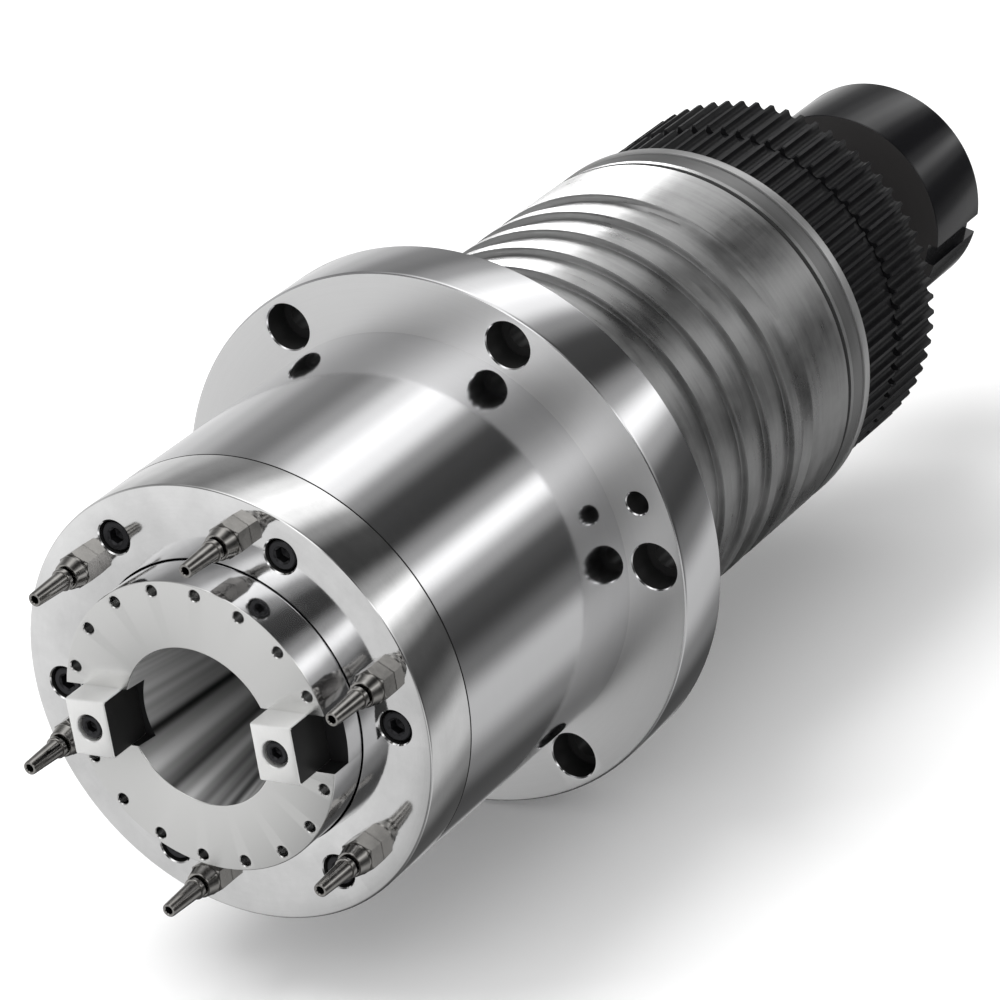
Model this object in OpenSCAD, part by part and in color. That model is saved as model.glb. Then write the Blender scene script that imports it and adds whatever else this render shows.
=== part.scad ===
// Belt-driven machine-tool spindle cartridge, cooled by water round its body.
// Every module is drawn standing on its tail: +Z is the axis, towards the nose,
// and z = 0 is the rear (mounting) face of the flange. lay() turns it to -Y.

/* [Nose and taper socket] */
// Distance from the mounting face to the nose face
nose_reach = 207; // [200:1:240]
// Radius of the spindle nose
nose_r = 64.285; // [62:0.005:68]
// Length of nose that stands out of the cover
nose_proud = 20; // [12:1:26]
// Radius of the 7/24 taper socket at the nose face
gauge_r = 34.925; // [33:0.005:36]
// Depth of the taper socket
taper_depth = 102; // [96:1:104]
// Radius of the circle of balance holes in the nose
balance_circle_r = 60; // [58:0.5:61]
// Radius of one balance hole
balance_hole_r = 2.5; // [1.5:0.1:3]
// Angle from one balance hole to the next
balance_step = 20; // [15:5:30]

/* [Drive keys] */
// Width of a drive key, across the nose
key_w = 25.4; // [20:0.1:28]
// Length of a drive key, along the radius
key_l = 19.5; // [16:0.5:22]
// Distance from the axis to the middle of a key
key_circle_r = 45.2; // [44.7:0.1:48]
// Height of a key above the nose face
key_proud = 12.5; // [8:0.5:16]
// Depth of a keyway
keyway_depth = 10; // [6:0.5:14]

/* [Nozzle cover] */
// Thickness of the cover
cover_t = 29; // [26:1:34]
// Radius of the cover and of the body in front of the flange
body_r = 97; // [96:0.5:100]
// Wall of the cover's spigot
spigot_wall = 10.4; // [10.2:0.1:10.8]
// Edge chamfer of the cover
cover_chamfer = 1; // [0.5:0.1:2]
// Radius of the circle of screws and nozzles
cover_circle_r = 81; // [80:0.5:82]
// Count of screws, and of nozzles between them
cover_count = 6; // [6:1:6]
// Angle from a screw to the nozzle that follows it
nozzle_angle = 15; // [14:1:40]

/* [Nozzles] */
// Width of a nozzle's hexagon across its flats
nozzle_hex = 14; // [13.5:0.5:16]
// Height of the hexagon above the cover
nozzle_hex_h = 8; // [7:0.5:12]
// Radius of the ball that a nozzle tube turns on
nozzle_ball_r = 5; // [4.5:0.1:5.4]
// Reach of a nozzle tube from the middle of its ball
nozzle_tube_l = 27.5; // [20:0.5:36]
// Radius of a nozzle tube at its tip
nozzle_tip_r = 3; // [2.6:0.1:3.2]
// Radius of the bore of a nozzle tube
nozzle_bore_r = 1.7; // [1:0.1:2]

/* [Flange] */
// Radius of the flange
flange_r = 124; // [122:0.5:130]
// Thickness of the flange
flange_t = 30; // [26:1:36]
// Radius of the circle of mounting holes
flange_circle_r = 110; // [109:0.5:112]
// Radius of a mounting hole
flange_hole_r = 6.75; // [5.5:0.25:8]
// Radius of the counterbore of a mounting hole
flange_sink_r = 10.5; // [9:0.25:11]
// Depth of the counterbore of a mounting hole
flange_sink_h = 13; // [10:1:18]
// Radius of a jacking hole
jack_hole_r = 5.1; // [4:0.1:6]
// Angle of the jacking holes
jack_angle = 15; // [13:1:18]

/* [Cooled body] */
// Length from the mounting face to the end of the cooling jacket
jacket_reach = 184; // [182:1:200]
// Radius of the locating land behind the flange
pilot_r = 95; // [94:0.1:97]
// Radius of the cooling jacket and of the rear cover
sleeve_r = 92.5; // [91.5:0.1:93.5]
// Length of the locating land behind the flange
pilot_l = 12; // [11:1:16]
// Wall of the cooling jacket
jacket_wall = 10; // [8:0.5:10]
// Lead of the helical water groove
groove_lead = 21.5; // [19:0.5:26]
// Depth of the water groove
groove_depth = 3; // [2:0.25:4]
// Width of the rib between two turns
rib_w = 6.5; // [5:0.5:8]
// Length of the plain land at the jacket's rear end
jacket_land = 40; // [36:1:50]
// Thickness of the rear cover
rear_cover_t = 16; // [15:0.5:20]

/* [Bearings] */
// Width of every bearing
bearing_w = 24; // [22:0.5:24.5]
// Bore radius of the front bearings
front_bore_r = 50; // [49:0.5:51]
// Outer radius of the front bearings
front_outer_r = 75; // [74:0.5:75]
// Bore radius of the rear bearings
rear_bore_r = 45; // [44.5:0.5:46]
// Outer radius of the rear bearings
rear_outer_r = 70; // [69:0.5:70]
// Radius of a bearing ball as a share of the bearing's section
ball_share = 0.32; // [0.28:0.01:0.33]
// Balls in one bearing
ball_count = 16; // [12:1:17]
// Width of the spacers between the front bearing pairs
spacer_w = 10; // [6:1:12]

/* [Pulley] */
// Width of the belt pulley
pulley_w = 72; // [64:1:80]
// Teeth of the belt pulley
pulley_teeth = 70; // [64:1:72]
// Tooth pitch of the belt
belt_pitch = 8; // [7.8:0.1:8.2]
// Depth of a belt groove
tooth_depth = 3.5; // [3:0.1:3.8]
// Radius of the shaft under the pulley
pulley_seat_r = 42; // [40:0.5:43]

/* [Tail] */
// Length from the pulley to the tail disc
tail_gap = 74.5; // [66:0.5:90]
// Length of the tail disc
disc_l = 45.5; // [40:0.5:56]
// Radius of the tail disc
disc_r = 53.3; // [48:0.1:58]
// Radius of the neck in front of the tail disc
neck_r = 28; // [27:0.5:30]
// Width of the two slots along the tail disc
slot_w = 10; // [6:0.5:14]
// Depth of the slots along the tail disc
slot_depth = 5; // [2:0.5:8]
// Angle of the first slot along the tail disc
slot_angle = -18.5; // [-90:0.5:90]

/* [Drawbar] */
// Radius of the drawbar inside the springs
drawbar_r = 15; // [14:0.25:15.5]
// Radius of the drawbar in the tail
drawbar_tail_r = 12; // [10:0.25:12.5]
// Radius of the spring bore
spring_bore_r = 31.5; // [30.5:0.25:32]
// Count of disc springs
spring_count = 48; // [44:2:50]
// Travel of the drawbar when the tool is let go
drawbar_travel = 7; // [5:0.5:8]
// Count of gripper claws
claw_count = 4; // [4:1:4]

/* [Hidden] */
$fn = 96;

// Running clearances between pieces that turn or slide on each other
run_fit = 0.05;
ball_play = 0.1;
ring_gap = 0.02;
free_gap = 0.5;
// A cut runs this far past the face it opens
past = 1;

// Stations along the axis, from the nose to the tail
cover_z = nose_reach - nose_proud;
seam_z = cover_z - cover_t;
spigot_h = 7;
spigot_r = nose_r + free_gap + spigot_wall;
front_stack_z = seam_z - spigot_h;
front_shoulder_z = front_stack_z - 4 * bearing_w - spacer_w;
labyrinth_l = 21;
fin_pitch = 5;
fin_depth = 3;
nose_back_z = front_stack_z + labyrinth_l;
front_nut_h = 20;
taper_end_z = nose_reach - taper_depth;
taper_end_r = gauge_r - taper_depth * 7 / 48;
jacket_z = -jacket_reach;
rear_spigot_h = 4;
rear_spacer_w = 4;
rear_stack_end_z = jacket_z + rear_spigot_h;
rear_shoulder_z = rear_stack_end_z + 2 * bearing_w + rear_spacer_w;
rear_z = jacket_z - rear_cover_t;
rear_nut_h = 17;
pulley_z = rear_z - 2;
pulley_back_z = pulley_z - pulley_w;
pulley_nut_h = 18;
shaft_end_z = pulley_back_z - pulley_nut_h - 8;
disc_z = pulley_back_z - tail_gap;
tail_z = disc_z - disc_l;

// Bearings: the balls run midway between bore and outside
front_pitch_r = (front_bore_r + front_outer_r) / 2;
rear_pitch_r = (rear_bore_r + rear_outer_r) / 2;
land_share = 0.164;
front_ball_r = ball_share * (front_outer_r - front_bore_r);
rear_ball_r = ball_share * (rear_outer_r - rear_bore_r);
front_land = land_share * (front_outer_r - front_bore_r);
rear_land = land_share * (rear_outer_r - rear_bore_r);
cage_half = 1.5;
cage_w = 20;
front_rows = [for (i = [0:3]) front_stack_z - (i + 0.5) * bearing_w - (i > 1 ? spacer_w : 0)];
rear_rows = [for (i = [0:1]) rear_shoulder_z - (i + 0.5) * bearing_w - (i > 0 ? rear_spacer_w : 0)];

// Shaft diameters behind the front bearings
front_nut_r = front_bore_r - 0.5;
mid_shaft_r = min(front_nut_r, rear_bore_r + 2);
rear_nut_r = rear_bore_r - 0.5;
pulley_nut_r = pulley_seat_r - 1;
housing_bore_r = front_outer_r - 9;

// Nozzles
hex_circle_r = nozzle_hex / 2 / cos(30);
stem_r = 5;
stem_l = 12;
ball_z = cover_z + nozzle_hex_h;
socket_r = nozzle_ball_r + run_fit;
cap_h = 6;
cap_mouth_r = nozzle_ball_r * 0.9;
tube_root_r = cap_mouth_r - 1.1;
feed_r = 2.5;
gallery_inner_r = cover_circle_r + 6;
gallery_outer_r = body_r - 6;
gallery_h = 10;
nozzle_angles = [for (i = [0:cover_count - 1]) nozzle_angle + i * 360 / cover_count];

// Cap screws
m8 = [4, 6.5, 8];
m6 = [3, 5, 6];
m5 = [2.5, 4.25, 5];
sink_play = 1;
cover_tap_l = 22;
rear_tap_l = 16;
balance_depth = 14;
rear_screw_start = 30;
rear_screw_circle_r = (rear_outer_r + sleeve_r - jacket_wall) / 2;

// Drawbar and gripper
chamber_r = taper_end_r + 4;
throat_h = 5;
chamber_top_z = taper_end_z - throat_h;
chamber_l = 56;
chamber_z = chamber_top_z - chamber_l;
guide_l = 14;
spring_top_z = chamber_z - guide_l;
collar_h = 16;
collar_z = rear_z + 12;
spring_l = spring_top_z - collar_z;
grip_neck_z = chamber_z + 2;
grip_neck_r = 9;
grip_head_r = 13;
grip_neck_h = 6;
grip_head_h = 8;
claw_play = 0.7;
claw_wall_r = grip_head_r + claw_play;
claw_l = 44;
claw_out_r = taper_end_r - 0.6;
claw_span = 82;
cap_counter_r = 30;
tail_register_r = cap_counter_r + 2;
tail_register_h = 4;
disc_web = 17.5;
push_cap_h = 14;
push_cap_z = disc_z - disc_web - drawbar_travel - 1;

// Parallel key of the pulley
pulley_key_w = 12;
pulley_key_h = 8;
pulley_key_end = 4;

// Tail adapter
adapter_t = 12;
adapter_r = pulley_seat_r - 1;
adapter_spigot = 15;
adapter_screw_r = (spring_bore_r + adapter_r) / 2;
disc_screw_r = (neck_r + drawbar_tail_r) / 2 + 0.5;
disc_spigot_r = disc_screw_r - 4.5;
disc_spigot_h = 5.5;

// O-rings are round cords in square grooves
cord_r = 1.5;
cord_inset = 4;
spigot_cord_z = seam_z - spigot_h / 2;
front_cord_z = -pilot_l - cord_inset;
rear_cord_z = jacket_z + cord_inset;
grooved_top = -pilot_l - 2 * cord_inset;

// Lays the standing spindle down, with its nose towards -Y
module lay() {
    rotate([90, 0, 0]) children();
}

// Copies its children n times round the axis at radius r
module around(n, r = 0, start = 0) {
    for (i = [0:n - 1]) rotate([0, 0, start + i * 360 / n]) translate([r, 0, 0]) children();
}

// Plain disc between two heights
module disc(z0, z1, r) {
    translate([0, 0, min(z0, z1)]) cylinder(h = abs(z1 - z0), r = r);
}

// Plain tube between two heights, also the shape of a turned groove
module tube(z0, z1, r_out, r_in) {
    difference() {
        disc(z0, z1, r_out);
        disc(min(z0, z1) - past, max(z0, z1) + past, r_in);
    }
}

// Round cord ring lying at radius r and height z
module cord_ring(z, r) {
    translate([0, 0, z]) rotate_extrude() translate([r, 0]) circle(r = cord_r, $fn = 24);
}

// Socket cap screw s = [shank, head, head height], head seat at z = 0, shank downwards
module cap_screw(s, l) {
    chamfer = s[2] / 10;
    difference() {
        union() {
            disc(0, s[2] - chamfer, s[1]);
            translate([0, 0, s[2] - chamfer]) cylinder(h = chamfer, r1 = s[1], r2 = s[1] - chamfer);
            disc(-l, 0, s[0]);
        }
        disc(s[2] / 2, s[2] + past, s[0] * 0.98 / cos(30), $fn = 6);
    }
}

// Counterbored hole for a cap screw whose head seat is at z = 0
module screw_hole(s, l, up) {
    disc(-l, past, s[0]);
    disc(0, up, s[1] + sink_play);
}

// Outer or inner bearing ring with its ball groove
module race(z, r_a, r_b, pitch_r, ball_r) {
    rotate_extrude() difference() {
        translate([r_a, z - bearing_w / 2 + ring_gap]) square([r_b - r_a, bearing_w - 2 * ring_gap]);
        translate([pitch_r, z]) circle(r = ball_r + ball_play, $fn = 48);
    }
}

module balls(rows, pitch_r, ball_r) {
    for (z = rows) translate([0, 0, z]) around(ball_count, pitch_r) sphere(r = ball_r, $fn = 48);
}

module cages(rows, pitch_r, ball_r) {
    for (z = rows) difference() {
        tube(z - cage_w / 2, z + cage_w / 2, pitch_r + cage_half, pitch_r - cage_half);
        translate([0, 0, z]) around(ball_count, pitch_r) rotate([0, 90, 0])
            cylinder(h = 4 * cage_half, r = ball_r + 0.3, center = true);
    }
}

// Round nut with four spanner slots
module slotted_nut(z0, z1, r_out, r_in) {
    slot_h = abs(z1 - z0) * 0.45;
    difference() {
        tube(z0, z1, r_out, r_in);
        around(4, r_out) translate([-4, -5, min(z0, z1) - past]) cube([8, 10, slot_h + past]);
    }
}

module housing() {
    color("silver") lay() difference() {
        union() {
            disc(flange_t - past, seam_z, body_r);
            rotate_extrude() polygon([
                [0, 0], [flange_r - 1, 0], [flange_r, 1], [flange_r, flange_t - 1.5],
                [flange_r - 1.5, flange_t], [0, flange_t]
            ]);
            disc(-pilot_l, past, pilot_r);
            disc(jacket_z, 0, sleeve_r - jacket_wall);
        }
        disc(front_shoulder_z, front_stack_z + past, front_outer_r);
        disc(front_stack_z, seam_z + past, spigot_r);
        disc(rear_shoulder_z - past, front_shoulder_z + past, housing_bore_r);
        disc(jacket_z - past, rear_shoulder_z, rear_outer_r);
        around(6, flange_circle_r) {
            disc(-past, flange_t + past, flange_hole_r);
            disc(flange_t - flange_sink_h, flange_t + past, flange_sink_r);
        }
        around(2, flange_circle_r, jack_angle) disc(-past, flange_t + past, jack_hole_r);
        around(cover_count, cover_circle_r) disc(seam_z - cover_tap_l, seam_z + past, m8[0]);
        around(6, rear_screw_circle_r, rear_screw_start)
            disc(jacket_z - past, jacket_z + rear_tap_l, m6[0]);
        coolant_way();
    }
}

// Coolant feed: in through the flange's rim, along the body, out at the gallery
module coolant_way() {
    feed_circle_r = (gallery_inner_r + gallery_outer_r) / 2;
    rotate([0, 0, -90]) {
        translate([feed_circle_r, 0, 0]) disc(flange_t / 2, seam_z + past, 1.8);
        translate([feed_circle_r, 0, flange_t / 2]) rotate([0, 90, 0])
            cylinder(h = flange_r - feed_circle_r + past, r = 4.4);
    }
}

// Share of the groove's depth at u, the place between two ribs, from 0 to 1
function groove_share(u) = let (
        half_w = 0.5 - rib_w / groove_lead / 2,
        side_w = 0.1,
        d = abs(u - 0.5)
    ) d < half_w - side_w ? 1 : d > half_w ? 0 : (1 + cos(180 * (d - half_w + side_w) / side_w)) / 2;

// Radius inside the grooved stretch at height z and angle a: a right-hand groove
function jacket_r(z, a) = let (turn = z / groove_lead - a / 360)
    sleeve_r - groove_depth * groove_share(turn - floor(turn));

module cooling_jacket() {
    sides = 48;
    steps = 42;
    inner_r = (sleeve_r - jacket_wall + 0.02) / cos(180 / sides);
    grooved_end = jacket_z + jacket_land;
    step_h = (grooved_top - grooved_end) / (steps + 1);
    levels = concat(
        [-pilot_l, front_cord_z + cord_r, front_cord_z + cord_r, front_cord_z - cord_r,
            front_cord_z - cord_r, grooved_top],
        [for (i = [1:steps]) grooved_top - i * step_h],
        [grooved_end, rear_cord_z + cord_r, rear_cord_z + cord_r, rear_cord_z - cord_r,
            rear_cord_z - cord_r, jacket_z]
    );
    last = len(levels) - 1;
    low_ring = (last + 2) * sides;
    top_ring = (last + 1) * sides;
    outer = [for (k = [0:last], i = [0:sides - 1]) let (
            a = i * 360 / sides,
            grooved = k > 5 && k < steps + 6,
            sunk = k == 2 || k == 3 || k == last - 3 || k == last - 2,
            r = grooved ? jacket_r(levels[k], a) : sleeve_r - (sunk ? 2 * cord_r : 0)
        ) [r * cos(a), r * sin(a), levels[k]]];
    inner = [for (k = [0, last], i = [0:sides - 1]) let (a = i * 360 / sides)
        [inner_r * cos(a), inner_r * sin(a), levels[k]]];
    color("darkgray") lay() polyhedron(
        points = concat(outer, inner),
        faces = concat(
            [for (k = [0:last - 1], i = [0:sides - 1]) let (j = (i + 1) % sides)
                [k * sides + i, k * sides + j, (k + 1) * sides + j, (k + 1) * sides + i]],
            [for (i = [0:sides - 1]) let (j = (i + 1) % sides) [i, top_ring + i, top_ring + j, j]],
            [for (i = [0:sides - 1]) let (j = (i + 1) % sides)
                [last * sides + j, low_ring + j, low_ring + i, last * sides + i]],
            [for (i = [0:sides - 1]) let (j = (i + 1) % sides)
                [top_ring + j, top_ring + i, low_ring + i, low_ring + j]]
        )
    );
}

module body_o_rings() {
    color("black") lay() {
        cord_ring(front_cord_z, sleeve_r - cord_r);
        cord_ring(rear_cord_z, sleeve_r - cord_r);
    }
}

module nozzle_cover() {
    color("lightgray") lay() difference() {
        union() {
            rotate_extrude() polygon([
                [0, seam_z], [body_r, seam_z], [body_r, cover_z - cover_chamfer],
                [body_r - cover_chamfer, cover_z], [0, cover_z]
            ]);
            disc(front_stack_z, seam_z + past, spigot_r);
        }
        disc(front_stack_z - past, cover_z + past, nose_r + free_gap);
        tube(spigot_cord_z - cord_r, spigot_cord_z + cord_r, spigot_r + past, spigot_r - 2 * cord_r);
        tube(seam_z - past, seam_z + gallery_h, gallery_outer_r, gallery_inner_r);
        tube(seam_z - past, seam_z + 2 * cord_r, gallery_outer_r + 1 + 2 * cord_r, gallery_outer_r + 1);
        around(cover_count, cover_circle_r) translate([0, 0, cover_z - m8[2] - 1])
            screw_hole(m8, cover_t, m8[2] + 1 + past);
        for (a = nozzle_angles) rotate([0, 0, a]) translate([cover_circle_r, 0, 0]) {
            disc(cover_z - stem_l - 8, cover_z + past, stem_r);
            translate([0, 0, cover_z - stem_l - 5]) rotate([0, 90, 0])
                cylinder(h = gallery_outer_r - cover_circle_r - 1, r = feed_r);
        }
    }
}

module cover_screws() {
    color("#1a1a1c") lay() around(cover_count, cover_circle_r)
        translate([0, 0, cover_z - m8[2] - 1]) cap_screw(m8, cover_t - m8[2] - 1 + 18);
}

module cover_o_rings() {
    color("black") lay() {
        cord_ring(spigot_cord_z, spigot_r - cord_r);
        cord_ring(seam_z + cord_r, gallery_outer_r + 1 + cord_r);
    }
}

// Stands its children at every nozzle, with z = 0 at the middle of the ball
module at_nozzles() {
    for (a = nozzle_angles) rotate([0, 0, a]) translate([cover_circle_r, 0, ball_z]) children();
}

module nozzle_bodies() {
    color("silver") lay() at_nozzles() difference() {
        union() {
            disc(-nozzle_hex_h, 0, hex_circle_r, $fn = 6);
            disc(-nozzle_hex_h - stem_l, -nozzle_hex_h + past, stem_r);
        }
        disc(-nozzle_hex_h - stem_l - past, 0, feed_r);
        sphere(r = socket_r);
    }
}

module nozzle_caps() {
    color("silver") lay() at_nozzles() difference() {
        rotate_extrude() polygon([
            [0, 0], [nozzle_hex / 2, 0], [nozzle_hex / 2, 1.5], [cap_mouth_r + 1.2, cap_h], [0, cap_h]
        ]);
        sphere(r = socket_r);
        disc(-past, cap_h + past, cap_mouth_r);
    }
}

// Turning tube k: a drilled ball, a collar and a tapered tube
module nozzle_tube(k) {
    collar_z = cap_h + 1.5;
    color("silver") lay() rotate([0, 0, nozzle_angles[k - 1]]) translate([cover_circle_r, 0, ball_z])
        difference() {
            union() {
                sphere(r = nozzle_ball_r);
                disc(0, collar_z, tube_root_r);
                disc(collar_z, collar_z + 2, tube_root_r + 1.4);
                translate([0, 0, collar_z]) cylinder(
                    h = nozzle_tube_l - collar_z, r1 = tube_root_r + 0.6, r2 = nozzle_tip_r);
            }
            disc(-nozzle_ball_r - past, nozzle_tube_l + past, nozzle_bore_r);
        }
}

module nozzle_tube_1() { nozzle_tube(1); }
module nozzle_tube_2() { nozzle_tube(2); }
module nozzle_tube_3() { nozzle_tube(3); }
module nozzle_tube_4() { nozzle_tube(4); }
module nozzle_tube_5() { nozzle_tube(5); }
module nozzle_tube_6() { nozzle_tube(6); }

module front_bearing_outer_rings() {
    color("silver") lay() for (z = front_rows)
        race(z, front_pitch_r + front_land, front_outer_r, front_pitch_r, front_ball_r);
}

module front_bearing_inner_rings() {
    color("silver") lay() for (z = front_rows)
        race(z, front_bore_r, front_pitch_r - front_land, front_pitch_r, front_ball_r);
}

module front_bearing_balls() {
    color("gainsboro") lay() balls(front_rows, front_pitch_r, front_ball_r);
}

module front_bearing_cages() {
    color("tan") lay() cages(front_rows, front_pitch_r, front_ball_r);
}

module front_outer_spacer() {
    z = front_rows[1] - bearing_w / 2;
    color("silver") lay() tube(z - spacer_w, z, front_outer_r, front_pitch_r + front_land + 1);
}

module front_inner_spacer() {
    z = front_rows[1] - bearing_w / 2;
    color("silver") lay() tube(z - spacer_w, z, front_pitch_r - front_land - 1, front_bore_r);
}

module rear_bearing_outer_rings() {
    color("silver") lay() for (z = rear_rows)
        race(z, rear_pitch_r + rear_land, rear_outer_r, rear_pitch_r, rear_ball_r);
}

module rear_bearing_inner_rings() {
    color("silver") lay() for (z = rear_rows)
        race(z, rear_bore_r, rear_pitch_r - rear_land, rear_pitch_r, rear_ball_r);
}

module rear_bearing_balls() {
    color("gainsboro") lay() balls(rear_rows, rear_pitch_r, rear_ball_r);
}

module rear_bearing_cages() {
    color("tan") lay() cages(rear_rows, rear_pitch_r, rear_ball_r);
}

module rear_outer_spacer() {
    z = rear_shoulder_z - bearing_w;
    color("silver") lay() tube(z - rear_spacer_w, z, rear_outer_r, rear_pitch_r + rear_land + 1);
}

module rear_inner_spacer() {
    z = rear_shoulder_z - bearing_w;
    color("silver") lay() tube(z - rear_spacer_w, z, rear_pitch_r - rear_land - 1, rear_bore_r);
}

module labyrinth_ring() {
    color("silver") lay() difference() {
        tube(front_stack_z, nose_back_z, nose_r, front_bore_r);
        disc(front_stack_z - past, front_stack_z + 2, nose_r + past);
        for (i = [1:3]) tube(front_stack_z + i * fin_pitch, front_stack_z + (i + 0.5) * fin_pitch,
            nose_r + past, nose_r - fin_depth);
    }
    color("silver") lay() tube(front_stack_z, front_stack_z + 2, front_pitch_r - front_land, front_bore_r);
}

module front_lock_nut() {
    color("dimgray") lay()
        slotted_nut(front_shoulder_z - front_nut_h, front_shoulder_z, housing_bore_r - 4, front_nut_r);
}

module rear_lock_nut() {
    color("dimgray") lay()
        slotted_nut(rear_stack_end_z - rear_nut_h, rear_stack_end_z, rear_pitch_r, rear_nut_r);
}

module rear_cover() {
    step_z = jacket_z - 10;
    color("gray") lay() difference() {
        union() {
            rotate_extrude() polygon([
                [0, rear_z], [sleeve_r - 1, rear_z], [sleeve_r, rear_z + 1], [sleeve_r, step_z - 0.8],
                [sleeve_r - 0.8, step_z], [sleeve_r, step_z + 0.8], [sleeve_r, jacket_z], [0, jacket_z]
            ]);
            disc(jacket_z, rear_stack_end_z, rear_outer_r);
        }
        disc(rear_z - past, rear_stack_end_z + past, rear_pitch_r + 2);
        tube(jacket_z, rear_stack_end_z - 1, rear_outer_r + past, rear_outer_r - 2 * cord_r);
        around(6, rear_screw_circle_r, rear_screw_start) {
            disc(rear_z - past, jacket_z + past, m6[0]);
            disc(rear_z - past, rear_z + m6[2] + 1, m6[1] + sink_play);
        }
    }
}

module rear_cover_screws() {
    color("#1a1a1c") lay() around(6, rear_screw_circle_r, rear_screw_start)
        translate([0, 0, rear_z + m6[2] + 1]) mirror([0, 0, 1])
            cap_screw(m6, rear_cover_t - m6[2] - 1 + 12);
}

module rear_cover_o_ring() {
    color("black") lay() cord_ring(jacket_z + cord_r, rear_outer_r - cord_r);
}

module spindle_shaft() {
    color("lightgray") lay() difference() {
        rotate_extrude() polygon([
            [0, nose_reach], [nose_r - 0.6, nose_reach], [nose_r, nose_reach - 0.6],
            [nose_r, nose_back_z], [front_bore_r, nose_back_z], [front_bore_r, front_shoulder_z],
            [front_nut_r, front_shoulder_z], [front_nut_r, front_shoulder_z - front_nut_h],
            [mid_shaft_r, front_shoulder_z - front_nut_h], [mid_shaft_r, rear_shoulder_z],
            [rear_bore_r, rear_shoulder_z], [rear_bore_r, rear_stack_end_z],
            [rear_nut_r, rear_stack_end_z], [rear_nut_r, pulley_z],
            [pulley_seat_r, pulley_z], [pulley_seat_r, pulley_back_z],
            [pulley_nut_r, pulley_back_z], [pulley_nut_r, shaft_end_z], [0, shaft_end_z]
        ]);
        translate([0, 0, taper_end_z]) cylinder(h = taper_depth, r1 = taper_end_r, r2 = gauge_r);
        disc(nose_reach, nose_reach + past, gauge_r);
        disc(chamber_top_z - past, taper_end_z + 0.01, taper_end_r);
        disc(chamber_z, chamber_top_z, chamber_r);
        disc(spring_top_z - past, chamber_z + past, drawbar_r + run_fit);
        disc(shaft_end_z - past, spring_top_z, spring_bore_r);
        around(2) translate([taper_end_r, -key_w / 2, nose_reach - keyway_depth])
            cube([nose_r, key_w, keyway_depth + past]);
        around(2, key_circle_r) disc(nose_reach - keyway_depth - 14, nose_reach, m6[0]);
        for (a = [balance_step:balance_step:180 - balance_step], side = [0, 180])
            rotate([0, 0, a + side]) translate([balance_circle_r, 0, 0])
                disc(nose_reach - balance_depth, nose_reach + past, balance_hole_r);
        pulley_key_box();
        around(6, adapter_screw_r) disc(shaft_end_z - past, shaft_end_z + 14, m5[0]);
    }
}

// The space of the pulley's key, half in the shaft and half in the pulley
module pulley_key_box() {
    translate([pulley_seat_r - pulley_key_h / 2, -pulley_key_w / 2, pulley_back_z + pulley_key_end])
        cube([pulley_key_h, pulley_key_w, pulley_w - 2 * pulley_key_end]);
}

module pulley_key() {
    color("dimgray") lay() pulley_key_box();
}

module drive_keys() {
    edge = 1;
    color("white") lay() around(2, key_circle_r) difference() {
        translate([-key_l / 2, 0, nose_reach - keyway_depth]) rotate([90, 0, 90])
            linear_extrude(key_l) polygon([
                [-key_w / 2, 0], [key_w / 2, 0], [key_w / 2, keyway_depth + key_proud - edge],
                [key_w / 2 - edge, keyway_depth + key_proud],
                [edge - key_w / 2, keyway_depth + key_proud],
                [-key_w / 2, keyway_depth + key_proud - edge]
            ]);
        translate([0, 0, nose_reach + key_proud - m6[2] - 1])
            screw_hole(m6, key_proud + keyway_depth, m6[2] + 1 + past);
    }
}

module key_screws() {
    color("#1a1a1c") lay() around(2, key_circle_r)
        translate([0, 0, nose_reach + key_proud - m6[2] - 1])
            cap_screw(m6, key_proud + keyway_depth - m6[2] - 1 + 12);
}

// Belt pulley: round-bottomed grooves, a break groove at the middle, a web and a hub
module belt_pulley() {
    tip_r = pulley_teeth * belt_pitch / 2 / 3.14159 - 0.686;
    groove_r = belt_pitch * 0.375;
    root_r = tip_r - tooth_depth;
    hub_r = pulley_seat_r + 15;
    rim_r = root_r - 9;
    recess = 22;
    color("#202022") lay() difference() {
        translate([0, 0, pulley_back_z]) linear_extrude(pulley_w) difference() {
            circle(r = tip_r);
            circle(r = pulley_seat_r);
            around(pulley_teeth, root_r + groove_r) circle(r = groove_r, $fn = 24);
        }
        tube(pulley_z - pulley_w / 2 - 2, pulley_z - pulley_w / 2 + 2, tip_r + past, root_r - 0.5);
        tube(pulley_back_z - past, pulley_back_z + recess, rim_r, hub_r);
        tube(pulley_z - 10, pulley_z + past, rim_r, hub_r);
        translate([0, 0, pulley_z + past]) mirror([0, 0, 1]) key_slot();
        around(6, (hub_r + rim_r) / 2, 30) disc(pulley_back_z, pulley_z, 4);
    }
}

// Slot for the pulley's key, open to the pulley's front face
module key_slot() {
    translate([0, -pulley_key_w / 2, 0])
        cube([pulley_seat_r + pulley_key_h / 2, pulley_key_w, pulley_w - pulley_key_end + past]);
}

module pulley_lock_nut() {
    color("dimgray") lay()
        slotted_nut(pulley_back_z - pulley_nut_h, pulley_back_z, pulley_seat_r + 12, pulley_nut_r);
}

module tail_adapter() {
    color("#2a2a2c") lay() difference() {
        union() {
            disc(shaft_end_z, shaft_end_z + adapter_spigot, spring_bore_r);
            disc(shaft_end_z - adapter_t, shaft_end_z, adapter_r);
            disc(disc_z, shaft_end_z, neck_r);
            disc(disc_z - disc_spigot_h + 0.5, disc_z, disc_spigot_r);
        }
        disc(tail_z, shaft_end_z + adapter_spigot + past, drawbar_tail_r + run_fit);
        around(6, adapter_screw_r) disc(shaft_end_z - adapter_t - past, shaft_end_z + past, m5[0]);
        around(4, disc_screw_r, 45) disc(disc_z - past, disc_z + 14, m6[0]);
    }
}

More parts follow.
